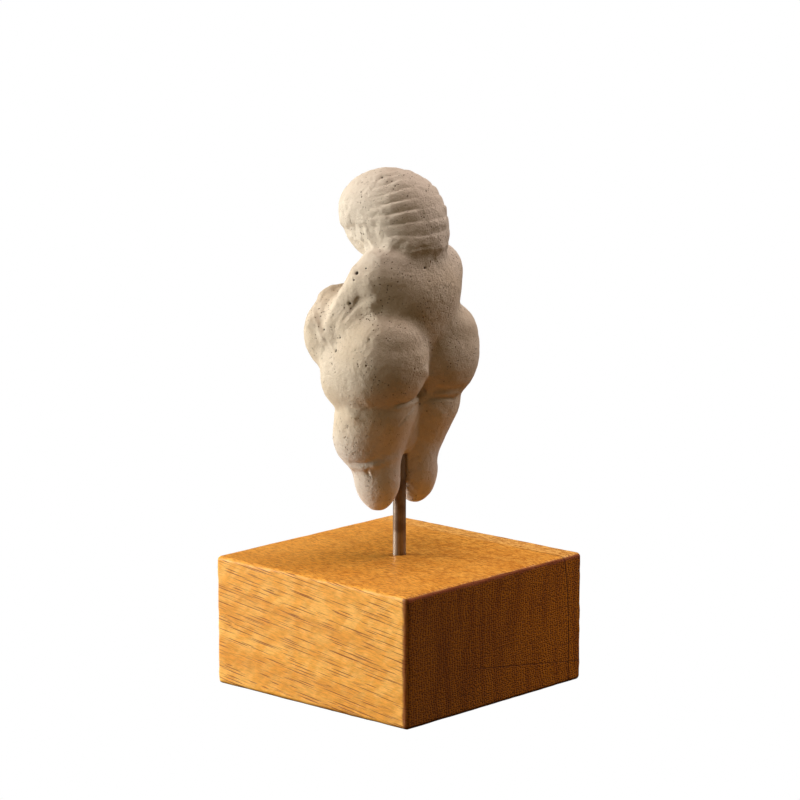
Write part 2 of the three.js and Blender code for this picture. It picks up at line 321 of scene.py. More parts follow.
def to_mass(p, mass):
    """About how far the points are outside a rounded mass."""
    fullness = mass.get("fullness", 2)
    q = [np.abs(p[i] - mass["at"][i]) / mass["radii"][i] + TINY for i in range(3)]
    if fullness == 2:
        reach = np.sqrt(q[0] ** 2 + q[1] ** 2 + q[2] ** 2)
        slope = np.sqrt(sum((q[i] / mass["radii"][i]) ** 2 for i in range(3)))
        return (reach - 1) * reach / slope
    reach = sum(x**fullness for x in q) ** (1 / fullness)
    slope = np.sqrt(sum((q[i] ** (fullness - 1) / mass["radii"][i]) ** 2 for i in range(3)))
    return (reach - 1) * reach ** (fullness - 1) / slope


def to_limb(p, start, end):
    """How far the points are outside a cone with round ends."""
    (root, thick), (tip, thin) = start, end
    axis = [tip[i] - root[i] for i in range(3)]
    length = math.sqrt(sum(a * a for a in axis))
    slope = (thick - thin) / length
    lean = math.sqrt(1 - slope * slope)
    q = [p[i] - root[i] for i in range(3)]
    along = sum(q[i] * axis[i] for i in range(3)) / length
    across = np.sqrt(np.maximum(q[0] ** 2 + q[1] ** 2 + q[2] ** 2 - along * along, 0))
    nearest = np.clip(along - across * slope / lean, 0, length)
    return np.hypot(across, along - nearest) - (thick - slope * nearest)


def blend(far, p, mass):
    return smooth_union(far, to_mass(p, mass), mass["soft"])


def on_left(p):
    """The points, each moved to her left side."""
    return (np.abs(p[0]), p[1], p[2])


def seat(p):
    return blend(blend(to_mass(p, BUTTOCK), p, HIP), p, HAUNCH)


def trunk(p):
    left = on_left(p)
    right = (-left[0], p[1], p[2])
    far = to_mass(p, BACK)
    for mass in (WAIST, BELLY, SHOULDER, FLANK, WAIST_ROLL):
        far = blend(far, left, mass)
    both_seats = smooth_union(seat(left), seat(right), CLEFT_SOFT)
    return blend(smooth_union(far, both_seats, SEAT_SOFT), left, BREAST)


def legs(p):
    left = on_left(p)
    return blend(blend(to_limb(left, *THIGH), left, CALF), p, LEGS_JOIN)


def arms(p):
    left = on_left(p)
    far = to_limb(left, ARM[0], ARM[1])
    for start, end in zip(ARM[1:], ARM[2:]):
        far = smooth_union(far, to_limb(left, start, end), ARM_JOINT_SOFT)
    return far


def rows(q):
    """The relief of the rows of hair, each with its lip near its upper edge."""
    arc = np.arccos(np.clip(q[2] / (np.sqrt(q[0] ** 2 + q[1] ** 2 + q[2] ** 2) + TINY), -1, 1))
    turn = np.arctan2(np.abs(q[0]), -q[1])
    nape = np.clip((NAPE_ARC - arc) / HAIR_FADE, 0, 1)
    brow = np.clip((HAIRLINE_ARC - arc) / HAIR_FADE, 0, 1)
    side = np.clip((turn - FACE_HALF_WIDTH) / HAIR_FADE, 0, 1)
    place = np.maximum(arc + ripple(q, ROW_WANDER), 0) / ROW_ARC
    down = place - np.floor(place)
    roll = np.where(place < 1, np.cos(np.pi * np.minimum(place, 1) / 2), np.sin(np.pi * down**ROW_SKEW))
    roll = np.abs(roll) ** ROW_FULLNESS
    left = rows_left(q, place, turn)
    rough = ripple(q, ROW_ROUGHNESS) + knots(q)
    hair = roll * left * nape * np.maximum(brow, side)
    return ROW_RELIEF * (hair + rough - 1 + PROUD_SHARE + (1 - left) * WORN_FILL)


def rows_left(q, place, turn):
    """How much the wear has left of the rows."""
    across = WEAR_WAY[0] * q[0] + WEAR_WAY[1] * q[1]
    band = np.exp(-(((across - WORN_BAND_AT) / WORN_BAND_WIDTH) ** 2))
    side = 1 - SMOOTH_SIDE_WEAR * smooth_step(*SMOOTH_SIDE, across) - WORN_BAND_WEAR * band
    crown = CROWN_LEFT + (1 - CROWN_LEFT) * smooth_step(*CROWN_ROWS, place)
    along = (np.sign(q[0]) * turn * HEAD_REACH, np.floor(place) * ROWS_APART, np.zeros_like(turn))
    unbroken = GAP_LEFT + (1 - GAP_LEFT) * smooth_step(*GAP_EDGES, ripple(along, GAPS))
    rubbed = 1 + ripple(q, RUBBING)
    return np.clip(np.minimum(side, crown) * unbroken * rubbed, 0, 1)


def knots(q):
    """Rough knots, where the rows were never worn smooth."""
    far = np.sqrt(sum((q[i] - KNOTS_MIDDLE[i]) ** 2 for i in range(3)))
    rough = ripple(q, KNOTS) * np.exp(-((far / KNOTS_REACH) ** 2))
    return KNOTS_RISE * rough


def face(q):
    rise = np.zeros_like(q[0])
    for side, height, wide, tall, most in FACE_RELIEF:
        rise += most * np.exp(-(((np.abs(q[0]) - side) / wide) ** 2) - ((q[2] - height) / tall) ** 2)
    return np.where(q[1] > 0, 0, rise)


def head(p):
    v = [p[i] - HEAD_CENTRE[i] for i in range(3)]
    q = (v[0], v[1] * math.cos(BOW) + v[2] * math.sin(BOW), v[2] * math.cos(BOW) - v[1] * math.sin(BOW))
    hair = blend(to_mass(p, SKULL), p, NAPE_HAIR) - rows(q)
    return blend(hair, p, JAW) - face(q)


def body_form(p):
    far = smooth_union(trunk(p), legs(p), LEGS_SOFT)
    far = smooth_union(far, arms(p), ARM_SOFT)
    return smooth_union(far, head(p), NECK_SOFT)


def cast(pixels):
    """Where the lines of sight through pixels of the photograph meet the figure's form."""
    pixels = np.array(pixels, dtype=float)
    focal = CAMERA_LENS / SENSOR * PHOTO_SIZE
    across = np.outer(pixels[:, 0] - PHOTO_SIZE / 2, image_right)
    upward = np.outer(PHOTO_SIZE / 2 - pixels[:, 1], image_up)
    ray = across + upward - np.array(camera_way) * focal
    ray /= np.linalg.norm(ray, axis=1, keepdims=True)
    eye = np.array(aim + camera_way * CAMERA_DISTANCE) - (0, 0, FORM_RISE)
    reach = np.full(len(pixels), CAMERA_DISTANCE - SIGHT_CLEAR)
    for _ in range(SIGHT_ROUNDS):
        reach += SIGHT_CARE * body_form((eye + ray * reach[:, None]).T)
    return eye + ray * reach[:, None]


def near_line(p, line):
    """How far the points are from a line of straight stretches, or from a single point."""
    far = np.sqrt(sum((p[i] - line[0][i]) ** 2 for i in range(3)))
    for start, end in zip(line, line[1:]):
        way = end - start
        q = [p[i] - start[i] for i in range(3)]
        along = np.clip(sum(q[i] * way[i] for i in range(3)) / (way @ way), 0, 1)
        far = np.minimum(far, np.sqrt(sum((q[i] - along * way[i]) ** 2 for i in range(3))))
    return far


@functools.cache
def pit_places():
    return cast([pixel for pixel, _ in PITS])


@functools.cache
def marks():
    """Every fold, crease and large pit as its line on the form, its width and its rise."""
    folds = [(cast(fold.route), fold.wide, fold.rise) for fold in FOLDS]
    pits = [(place[None, :], radius, -PIT_DEPTH) for place, (_, radius) in zip(pit_places(), PITS)]
    return folds + pits


def mark_relief(p):
    """How far the folds, creases and large pits raise the surface."""
    rise = np.zeros_like(p[0])
    for line, wide, most in marks():
        low = line.min(axis=0) - FOLD_REACH * wide
        high = line.max(axis=0) + FOLD_REACH * wide
        close = np.nonzero(np.all([(p[i] > low[i]) & (p[i] < high[i]) for i in range(3)], axis=0))
        far = near_line([axis[close] for axis in p], line)
        rise[close] += most * np.exp(-((far / wide) ** 2))
    return rise * (1 + ripple(p, FOLD_UNEVENNESS))


def figure_form(p):
    unevenness = sum(ripple(p, noise) for noise in UNEVENNESS)
    far = body_form(p) - mark_relief(p) - unevenness
    bore = np.maximum(np.hypot(p[0], p[1]) - BORE_RADIUS, p[2] - BORE_TOP)
    return -smooth_union(-far, bore, BORE_SOFT)


def surface_net(values, origin, step):
    """Vertices and quads of the surface where a regular grid of values changes sign."""
    inside = values < 0
    cells_across = np.array(values.shape) - 1
    owners, places, flips = [], [], []
    for axis in range(3):
        low = tuple(slice(0, -1) if i == axis else slice(None) for i in range(3))
        high = tuple(slice(1, None) if i == axis else slice(None) for i in range(3))
        node = np.argwhere(inside[low] != inside[high])
        a = values[low][tuple(node.T)]
        b = values[high][tuple(node.T)]
        place = node.astype(np.float64)
        place[:, axis] += a / (a - b)
        u, v = (axis + 1) % 3, (axis + 2) % 3
        for back_u, back_v in ((0, 0), (1, 0), (1, 1), (0, 1)):
            cell = node.copy()
            cell[:, u] -= back_u
            cell[:, v] -= back_v
            owners.append(np.ravel_multi_index(cell.T, cells_across))
            places.append(place)
        flips.append(a > 0)
    _, vertex = np.unique(np.concatenate(owners), return_inverse=True)
    place = np.concatenate(places)
    count = np.bincount(vertex)
    points = np.stack([np.bincount(vertex, place[:, i]) / count for i in range(3)], axis=1)
    quads = []
    first = 0
    for flip in flips:
        corners = vertex[first : first + 4 * len(flip)].reshape(4, -1).T
        quads.append(np.where(flip[:, None], corners[:, ::-1], corners))
        first += 4 * len(flip)
    return points * step + origin, np.concatenate(quads)


def settle(points, form):
    """Moves points onto the form's surface."""
    for _ in range(SETTLE_ROUNDS):
        columns = points.T
        value = form(columns)
        slope = []
        for axis in range(3):
            aside = columns.copy()
            aside[axis] += SETTLE_REACH
            slope.append((form(aside) - value) / SETTLE_REACH)
        slope = np.array(slope)
        points = points - (value * slope / (slope**2).sum(axis=0)).T
    return points


def mesh_of_form(form, low, high):
    """The form's surface, from a grid that is fine only where a coarse one comes near it."""
    coarse_step = GRID_STEP * COARSE_STEPS
    counts = [int(math.ceil((b - a) / GRID_STEP / COARSE_STEPS)) for a, b in zip(low, high)]
    axes = [a + GRID_STEP * np.arange(n * COARSE_STEPS) for a, n in zip(low, counts)]
    middle = GRID_STEP * (COARSE_STEPS - 1) / 2
    thin = np.meshgrid(*[axis[::COARSE_STEPS] + middle for axis in axes], indexing="ij")
    values = form([axis.ravel() for axis in thin]).reshape(counts)
    near = np.abs(values) < coarse_step * NEAR_SHARE
    for axis in range(3):
        values = np.repeat(values, COARSE_STEPS, axis=axis)
        near = np.repeat(near, COARSE_STEPS, axis=axis)
    spot = np.nonzero(near)
    values[spot] = form([axes[i][spot[i]] for i in range(3)])
    points, quads = surface_net(values, np.array(low), GRID_STEP)
    return settle(points, form), quads


def new_object(name, points, faces):
    """A smooth mesh object, from points in millimetres and lists of corners."""
    mesh = bpy.data.meshes.new(name)
    mesh.from_pydata((points * MM).tolist(), [], faces)
    mesh.validate()
    mesh.shade_smooth()
    return add_object(name, mesh)


def apply_modifiers(made):
    graph = bpy.context.evaluated_depsgraph_get()
    done = bpy.data.meshes.new_from_object(made.evaluated_get(graph))
    made.modifiers.clear()
    made.data = done


def make_figure():
    """The figure's piece, and where its large pits are."""
    points, quads = mesh_of_form(figure_form, FORM_LOW, FORM_HIGH)
    low, high = node_corners("figure")
    scale = (high[2] - low[2]) / np.ptp(points[:, 2])
    lift = np.array((0, 0, low[2] - points[:, 2].min() * scale))
    made = new_object("plaster_figure", points * scale + lift, quads.tolist())
    triangles = 2 * len(quads)
    print("figure triangles", triangles)
    if triangles > TRIANGLE_LIMIT:
        thinner = made.modifiers.new("thinner", "DECIMATE")
        thinner.ratio = TRIANGLE_LIMIT / triangles
        apply_modifiers(made)
        made.data.shade_smooth()
    return made, pit_places() * scale + lift


# Block and rod, as large as the frame's
block_low, block_high = node_corners("block")
rod_low, rod_high = node_corners("rod")
BLOCK_HALF = [round(float(length) / 2, 3) for length in block_high - block_low]
BLOCK_HEIGHT = 2 * BLOCK_HALF[2]
BLOCK_EDGE = 1.35
EDGE_STEPS = 6
FACE_STEPS = 50
EDGE_WAVES = Noise(rise=0.22, size=9, seed=5)
EDGE_DENTS = Noise(rise=0.2, size=2.2, seed=6)
WELD = 1e-4

ROD_RADIUS = round(float(rod_high[0]), 3)
ROD_EDGE = 0.5
ROD_EDGE_STEPS = 4
ROD_SHANK_STEPS = 30
ROD_SHANK_INSET = 1  # from the rod's ends
ROUND_SIDES = 48
HOLE_RADIUS = 2.15
HOLE_UNDER_ROD = 0.3
HOLE_OVER_BLOCK = 5


def block_lines(half):
    """Where the mesh lines of a face lie, closer together over its rounded edges."""
    flat = half - BLOCK_EDGE
    bend = [flat + BLOCK_EDGE * math.tan(math.radians(45) * i / EDGE_STEPS) for i in range(1, EDGE_STEPS + 1)]
    return [-x for x in reversed(bend)] + list(np.linspace(-flat, flat, FACE_STEPS)) + bend


def add_side(shape, axis, side):
    """A grid over one side of the block's box."""
    u, v = (axis + 1) % 3, (axis + 2) % 3
    grid = []
    for a in block_lines(BLOCK_HALF[u]):
        line = []
        for b in block_lines(BLOCK_HALF[v]):
            corner = [0, 0, 0]
            corner[axis], corner[u], corner[v] = side * BLOCK_HALF[axis], a, b
            line.append(shape.verts.new(corner))
        grid.append(line)
    for i in range(len(grid) - 1):
        for j in range(len(grid[0]) - 1):
            ring = [grid[i][j], grid[i + 1][j], grid[i + 1][j + 1], grid[i][j + 1]]
            shape.faces.new(ring if side > 0 else ring[::-1])


def round_edges(shape):
    """Draws the box's edges in to uneven, worn rounds and stands it on the ground."""
    places = [np.array([vertex.co[i] for vertex in shape.verts]) for i in range(3)]
    edge = BLOCK_EDGE * (1 + ripple(places, EDGE_WAVES) + ripple(places, EDGE_DENTS))
    core = [np.clip(places[i], edge - BLOCK_HALF[i], BLOCK_HALF[i] - edge) for i in range(3)]
    way = [places[i] - core[i] for i in range(3)]
    length = np.sqrt(way[0] ** 2 + way[1] ** 2 + way[2] ** 2)
    moved = [core[i] + edge * way[i] / length for i in range(3)]
    for index, vertex in enumerate(shape.verts):
        vertex.co = [axis[index] for axis in moved]
        vertex.co.z += BLOCK_HALF[2]
        vertex.co *= MM


def make_block():
    shape = bmesh.new()
    for axis in range(3):
        for side in (-1, 1):
            add_side(shape, axis, side)
    bmesh.ops.remove_doubles(shape, verts=shape.verts, dist=WELD)
    round_edges(shape)
    mesh = bpy.data.meshes.new("oak_block")
    shape.to_mesh(mesh)
    shape.free()
    made = add_object("oak_block", mesh)
    bore_block(made)
    made.data.shade_smooth()
    return made


def bore_block(block):
    """Sinks the rod's hole into the block."""
    profile = ((HOLE_RADIUS, rod_low[2] - HOLE_UNDER_ROD), (HOLE_RADIUS, BLOCK_HEIGHT + HOLE_OVER_BLOCK))
    bore = turned("bore", profile)
    cut = block.modifiers.new("cut", "BOOLEAN")
    cut.operation = "DIFFERENCE"
    cut.solver = "EXACT"
    cut.object = bore
    apply_modifiers(block)
    bpy.data.objects.remove(bore)


def turned(name, profile):
    """A solid of revolution round the rod's axis, from (radius, height) pairs."""
    points, faces = [], []
    for radius, height in profile:
        for i in range(ROUND_SIDES):
            angle = 2 * math.pi * i / ROUND_SIDES
            points.append((radius * math.cos(angle), radius * math.sin(angle), height))
    for ring in range(len(profile) - 1):
        for i in range(ROUND_SIDES):
            j = (i + 1) % ROUND_SIDES
            low, high = ring * ROUND_SIDES, (ring + 1) * ROUND_SIDES
            faces.append([low + i, low + j, high + j, high + i])
    faces.append(list(range(ROUND_SIDES))[::-1])
    faces.append([(len(profile) - 1) * ROUND_SIDES + i for i in range(ROUND_SIDES)])
    return new_object(name, np.array(points), faces)


def rod_profile():
    """The rod from its foot to its tip, with softened edges."""
    low, high = rod_low[2], rod_high[2]
    inner = ROD_RADIUS - ROD_EDGE
    bend = [math.radians(90) * i / ROD_EDGE_STEPS for i in range(ROD_EDGE_STEPS + 1)]
    foot = [(inner + ROD_EDGE * math.sin(a), low + ROD_EDGE - ROD_EDGE * math.cos(a)) for a in bend]
    tip = [(inner + ROD_EDGE * math.cos(a), high - ROD_EDGE + ROD_EDGE * math.sin(a)) for a in bend]
    heights = np.linspace(low + ROD_SHANK_INSET, high - ROD_SHANK_INSET, ROD_SHANK_STEPS)
    return foot + [(ROD_RADIUS, z) for z in heights] + tip


# Materials
class Recipe:
    """A material's nodes. A value is a number, a colour or another node's output."""

    def __init__(self, name):
        self.material = bpy.data.materials.new(name)
        self.material.use_nodes = True
        self.tree = self.material.node_tree
        self.shader = self.tree.nodes["Principled BSDF"]
        metres = self.add("ShaderNodeTexCoord").outputs["Object"]
        self.place = self.vector("MULTIPLY", metres, (1 / MM, 1 / MM, 1 / MM))

    def add(self, kind, **settings):
        node = self.tree.nodes.new(kind)
        for name, value in settings.items():
            setattr(node, name, value)
        return node

    def give(self, socket, value):
        if isinstance(value, bpy.types.NodeSocket):
            self.tree.links.new(value, socket)
        else:
            socket.default_value = value

    def math(self, operation, *values):
        node = self.add("ShaderNodeMath", operation=operation)
        for socket, value in zip(node.inputs, values):
            self.give(socket, value)
        return node.outputs[0]

    def plus(self, a, b):
        return self.math("ADD", a, b)

    def minus(self, a, b):
        return self.math("SUBTRACT", a, b)

    def times(self, a, b):
        return self.math("MULTIPLY", a, b)

    def over(self, a, b):
        return self.math("DIVIDE", a, b)

    def most(self, a, b):
        return self.math("MAXIMUM", a, b)

    def vector(self, operation, a, b):
        node = self.add("ShaderNodeVectorMath", operation=operation)
        self.give(node.inputs[0], a)
        self.give(node.inputs[1], b)
        return node.outputs["Value" if operation == "DISTANCE" else "Vector"]

    def axes(self, place):
        node = self.add("ShaderNodeSeparateXYZ")
        self.give(node.inputs[0], place)
        return node.outputs[:]

    def join(self, x, y, z):
        node = self.add("ShaderNodeCombineXYZ")
        for socket, value in zip(node.inputs, (x, y, z)):
            self.give(socket, value)
        return node.outputs[0]

    def noise(self, place, size, detail=2.0, roughness=0.5):
        node = self.add("ShaderNodeTexNoise")
        self.give(node.inputs["Vector"], place)
        node.inputs["Scale"].default_value = 1 / size
        node.inputs["Detail"].default_value = detail
        node.inputs["Roughness"].default_value = roughness
        return node.outputs["Fac"]

    def cells(self, place, size, dimensions="3D"):
        node = self.add("ShaderNodeTexVoronoi", voronoi_dimensions=dimensions)
        self.give(node.inputs["Vector"], place)
        node.inputs["Scale"].default_value = 1 / size
        return node

    def remap(self, value, low, high, out_low=0.0, out_high=1.0):
        node = self.add("ShaderNodeMapRange", interpolation_type="SMOOTHSTEP")
        for socket, item in zip(node.inputs, (value, low, high, out_low, out_high)):
            self.give(socket, item)
        return node.outputs[0]

    def mix(self, share, a, b):
        node = self.add("ShaderNodeMix", data_type="RGBA")
        self.give(node.inputs["Factor"], share)
        self.give(node.inputs[6], a)
        self.give(node.inputs[7], b)
        return node.outputs[2]

    def stain(self, base, share, tone, strength):
        """The base, mixed with a tone where the share says, by its strength at most."""
        return self.mix(self.times(share, strength), base, tone)

    def tint(self, base, factor):
        """A colour made darker or lighter by a number."""
        node = self.add("ShaderNodeVectorMath", operation="SCALE")
        self.give(node.inputs[0], base)
        self.give(node.inputs["Scale"], factor)
        return node.outputs[0]

    def bump(self, height, distance):
        node = self.add("ShaderNodeBump")
        self.give(node.inputs["Height"], height)
        node.inputs["Distance"].default_value = distance * MM
        return node.outputs[0]

    def pits(self, place, size, widest, share):
        """Round spots, 1 in their middles, in about this share of the cells."""
        node = self.cells(place, size)
        dice = self.axes(node.outputs["Color"])[0]
        radius = self.remap(dice, 1 - share, 1, 0, widest)
        depth = self.minus(radius, node.outputs["Distance"])
        return self.remap(depth, 0, widest * 0.5)

    def shade(self, base, roughness, height, relief, gloss=None):
        """Gives the shader its colour, roughness and bump, and its specular level where one is given."""
        self.give(self.shader.inputs["Base Color"], base)
        self.give(self.shader.inputs["Roughness"], roughness)
        self.give(self.shader.inputs["Normal"], self.bump(height, relief))
        if gloss is not None:
            self.shader.inputs["Specular IOR Level"].default_value = gloss
        return self.material


def colour(red, green, blue):
    """A colour as it looks on screen, from 0 to 255."""
    linear = [((c / 255 + 0.055) / 1.055) ** 2.4 if c > 10 else c / 255 / 12.92 for c in (red, green, blue)]
    return (*linear, 1)


# Plaster: its tones, its painted light and shade, the heights between which they change, and its relief
PLASTER_PALE = colour(214, 200, 179)
PLASTER_WARM = colour(204, 188, 164)
PLASTER_BROWN = colour(190, 172, 146)
HEAD_PAINTED_LIGHT = colour(216, 206, 191)
CALF_BOUNCE_COUNTER_TONE = colour(206, 198, 190)
PIT_SHADE = colour(98, 74, 48)
LARGE_PIT_SHADE = colour(34, 22, 12)
HEAD_LIGHT_HEIGHTS = (132, 142)
CALF_BOUNCE_COUNTER_HEIGHTS = (75, 90)
SMOOTHER_HEIGHTS = (88, 108)
ROUGH_CALF_HEIGHTS = (76, 84)
LARGE_PIT_EDGE = (0.8, 1.5)  # in radii
PLASTER_RELIEF = 0.34
PLASTER_ROUGHNESS = 0.9
PLASTER_GLOSS = 0.25


def plaster_material(large_pits):
    recipe = Recipe("plaster")
    place = recipe.place
    height_up = recipe.axes(place)[2]
    patches = recipe.noise(place, size=14, detail=3)
    mottle = recipe.noise(place, size=2.2, detail=4, roughness=0.6)
    grain = recipe.noise(place, size=0.55, detail=5, roughness=0.75)
    base = recipe.mix(recipe.remap(patches, 0.35, 0.65), PLASTER_PALE, PLASTER_WARM)
    base = recipe.mix(recipe.remap(mottle, 0.45, 0.75, 0, 0.4), base, PLASTER_BROWN)
    base = recipe.tint(base, recipe.remap(grain, 0.3, 0.7, 0.9, 1.06))
    # Painted light: the head made lighter and a little less yellow.
    base = recipe.mix(recipe.remap(height_up, *HEAD_LIGHT_HEIGHTS, 0, 0.6), base, HEAD_PAINTED_LIGHT)
    # Painted light: greyer low on the legs, to undo the warm light that the block bounces onto them.
    base = recipe.mix(recipe.remap(height_up, *CALF_BOUNCE_COUNTER_HEIGHTS, 0.6, 0), base, CALF_BOUNCE_COUNTER_TONE)

    crowd = recipe.remap(recipe.noise(place, size=8), 0.42, 0.6, 0.12, 1)
    small = recipe.times(recipe.pits(place, size=0.8, widest=0.42, share=0.7), crowd)
    elsewhere = recipe.vector("ADD", place, (3.1, 7.7, 1.9))
    pits = recipe.most(small, recipe.pits(elsewhere, size=3.2, widest=0.15, share=0.5))
    above_calves = recipe.remap(height_up, *SMOOTHER_HEIGHTS, 0.5, 1)
    # Painted shade: the small pits darkened.
    base = recipe.stain(base, recipe.times(pits, above_calves), PIT_SHADE, 0.85)
    # Painted shade: the large pits darkened almost to black.
    for spot, (_, radius) in zip(large_pits, PITS):
        distance = recipe.vector("DISTANCE", place, tuple(spot))
        inner, outer = [radius * share for share in LARGE_PIT_EDGE]
        base = recipe.mix(recipe.remap(distance, inner, outer, 1, 0), base, LARGE_PIT_SHADE)

    elsewhere = recipe.vector("ADD", place, (5.5, 2.2, 8.1))
    pimples = recipe.times(recipe.pits(elsewhere, size=1.3, widest=0.3, share=0.6), 0.35)
    skin = recipe.plus(recipe.plus(grain, pimples), recipe.noise(place, size=1.5))
    rough_calf = recipe.remap(height_up, *ROUGH_CALF_HEIGHTS, 0.4, 0)
    skin = recipe.times(skin, recipe.plus(above_calves, rough_calf))
    height = recipe.minus(skin, recipe.times(pits, 0.8))
    return recipe.shade(base, PLASTER_ROUGHNESS, height, PLASTER_RELIEF, PLASTER_GLOSS)


# Oak: its tones along the grain and on the cut ends, and its painted light and shade
OAK_GOLD = colour(243, 171, 68)
OAK_PALE = colour(253, 190, 92)
OAK_BAND = colour(216, 138, 42)
OAK_STRIP = colour(250, 194, 106)
OAK_SPECKLE = colour(176, 98, 18)
OAK_FAR_PAINTED_LIGHT = colour(250, 192, 104)
OAK_PORE = colour(134, 58, 4)
END_EARLY = colour(196, 118, 4)
END_LATE = colour(138, 70, 0)
END_VESSEL = colour(64, 24, 0)
END_RAY = colour(110, 54, 6)
END_RIM = colour(146, 76, 40)
CORNER_PAINTED_SHADE = colour(116, 48, 8)
CRACK_TONE = colour(70, 30, 4)

# Where its marks are, on the block
NEAR_END = BLOCK_HALF[1] - 0.5
GRAIN_SLANT = 0.117  # how far the grain drops along the block's side
PALE_STRIP = (-34.5, -31.5)  # the top's pale strip fades out over this stretch of x
HEART_ASIDE = 170  # from the block's middle to the middle of the tree's rings
HEART_HEIGHT = 26
RING_WIDTH = 1.05
CRACK_LOW = -35.2  # where a hairline crack stands at the foot of the block's end
CRACK_BEND = 2.6  # how far it has bent aside at the top
RAY_HEIGHT = 12.1  # a ray that shows as a line across the end, and how it climbs
RAY_SLANT = 0.142
RAY_END = (9, 14)  # where it fades out
OAK_RELIEF = 0.09
OAK_GLOSS = 0.2


class Oak(Recipe):
    """Oak with its grain along Y: ray-crossed rings on the ends, long pores on the sides and the top."""

    def __init__(self):
        super().__init__("oak")
        self.x, self.y, self.level = self.axes(self.place)
        self.z = self.plus(self.level, self.times(self.y, GRAIN_SLANT))
        normal = self.axes(self.add("ShaderNodeNewGeometry").outputs["Normal"])
        faced = [self.math("ABSOLUTE", part) for part in normal]
        self.on_side, self.on_end, self.on_top = [self.remap(part, 0.6, 0.8) for part in faced]
        flattest = self.most(faced[0], self.most(faced[1], faced[2]))
        self.on_edge = self.remap(flattest, 0.8, 0.98, 1, 0)
        self.pale_strip = self.times(self.remap(self.x, *PALE_STRIP, 1, 0), self.on_top)
        self.streaks = self.grain_noise(0.16, size=0.45, detail=4, roughness=0.7)
        self.raggedness = self.times(self.noise(self.place, size=3), 1.6)

    def grain_noise(self, stretch, **settings):
        """Noise drawn out along the grain."""
        return self.noise(self.join(self.x, self.times(self.y, stretch), self.z), **settings)

    def long_grain(self):
        """The colour on the sides and the top, under the pores, with painted light making the top paler
        towards its far end.
        """
        aslant = self.join(
            self.times(self.x, 0.3),
            self.minus(self.y, self.z),
            self.times(self.plus(self.y, self.z), 0.4),
        )
        figure = self.remap(self.noise(aslant, size=4.5), 0.38, 0.62)
        figure = self.times(figure, self.remap(self.on_top, 0, 1, 1, 0.3))
        bands = self.grain_noise(0.05, size=5, detail=3)
        base = self.mix(figure, OAK_GOLD, OAK_PALE)
        base = self.mix(self.remap(bands, 0.4, 0.75, 0, 0.5), base, OAK_BAND)
        base = self.tint(base, self.remap(self.streaks, 0.3, 0.7, 0.8, 1.13))
        base = self.stain(base, self.pale_strip, OAK_STRIP, 0.85)
        speckle = self.remap(self.grain_noise(0.2, size=0.6, detail=3, roughness=0.7), 0.46, 0.6)
        base = self.mix(self.times(speckle, self.times(self.on_top, 0.75)), base, OAK_SPECKLE)
        # Painted light: the top made paler towards its far end.
        far_light = self.times(self.remap(self.y, -NEAR_END, 0, 0.2, 0), self.on_top)
        return self.mix(far_light, base, OAK_FAR_PAINTED_LIGHT)

    def dashes(self, across, size, widest, longest):
        """Tapered dashes along the grain, each in its own cell, from their half width and half length."""
        squeeze = size / (2.2 * longest)
        spot = self.join(across, self.times(self.y, squeeze), 0.0)
        cell = self.cells(spot, size, "2D")
        aside, onward = self.axes(self.vector("SUBTRACT", spot, cell.outputs["Position"]))[:2]
        dice = self.axes(cell.outputs["Color"])
        half_length = self.remap(dice[0], 0, 1, 0.25 * longest, longest)
        reach = self.over(self.over(onward, squeeze), half_length)
        taper = self.minus(1, self.times(reach, reach))
        half_width = self.times(self.remap(dice[1], 0, 1, 0.3 * widest, widest), taper)
        inside = self.minus(half_width, self.math("ABSOLUTE", aside))
        return self.remap(inside, -0.05, 0.05)

    def pores(self):
        """Long pores on the sides and in the top's pale strip, short faint ones on the rest of the top."""
        many = self.dashes(self.z, size=1.3, widest=0.15, longest=7)
        few = self.dashes(self.z, size=1.9, widest=0.14, longest=9)
        short = self.times(self.dashes(self.x, size=0.7, widest=0.13, longest=1.6), 0.55)
        strip = self.times(self.dashes(self.x, size=1.7, widest=0.2, longest=5), self.pale_strip)
        sides = self.times(self.most(many, few), self.on_side)
        return self.most(sides, self.times(self.most(short, strip), self.on_top))

    def end_grain(self):
        """Shares of late wood, vessels and rays on the cut ends."""
        aside = self.plus(self.x, HEART_ASIDE)
        below = self.minus(self.level, HEART_HEIGHT)
        radius = self.math("SQRT", self.plus(self.math("POWER", aside, 2), self.math("POWER", below, 2)))
        radius = self.plus(radius, self.times(self.noise(self.place, size=9), 3))
        count = self.over(radius, RING_WIDTH)
        beside = self.math("ABSOLUTE", self.minus(self.math("FRACT", count), 0.5))
        fine = self.times(self.remap(beside, 0.08, 0.4), 0.45)
        broad = self.noise(self.join(radius, 0.0, self.times(self.level, 0.15)), size=5)
        ring = self.plus(fine, self.remap(broad, 0.42, 0.65, 0, 0.4))
        vessel = self.cells(self.join(count, self.over(self.level, 0.7), 0.0), 1, "2D")
        vessel.inputs["Randomness"].default_value = 0.6
        vessels = self.remap(vessel.outputs["Distance"], 0.18, 0.42, 1, 0)
        drawn_out = self.join(self.times(self.x, 0.04), 0.0, self.level)
        rays = self.remap(self.noise(drawn_out, size=0.5), 0.56, 0.68)
        return ring, vessels, rays

    def end_tone(self, ring, vessels, rays):
        tone = self.mix(ring, END_EARLY, END_LATE)
        tone = self.stain(tone, vessels, END_VESSEL, 0.7)
        tone = self.stain(tone, rays, END_RAY, 0.4)
        # Painted light and shade: the end lighter towards low x and darker towards high x.
        tone = self.tint(tone, self.remap(self.x, -BLOCK_HALF[0], BLOCK_HALF[0], 1.05, 0.68))
        rim = self.remap(self.plus(self.level, self.raggedness), BLOCK_HEIGHT - 1, BLOCK_HEIGHT - 0.4)
        return self.stain(tone, rim, END_RIM, 0.9)

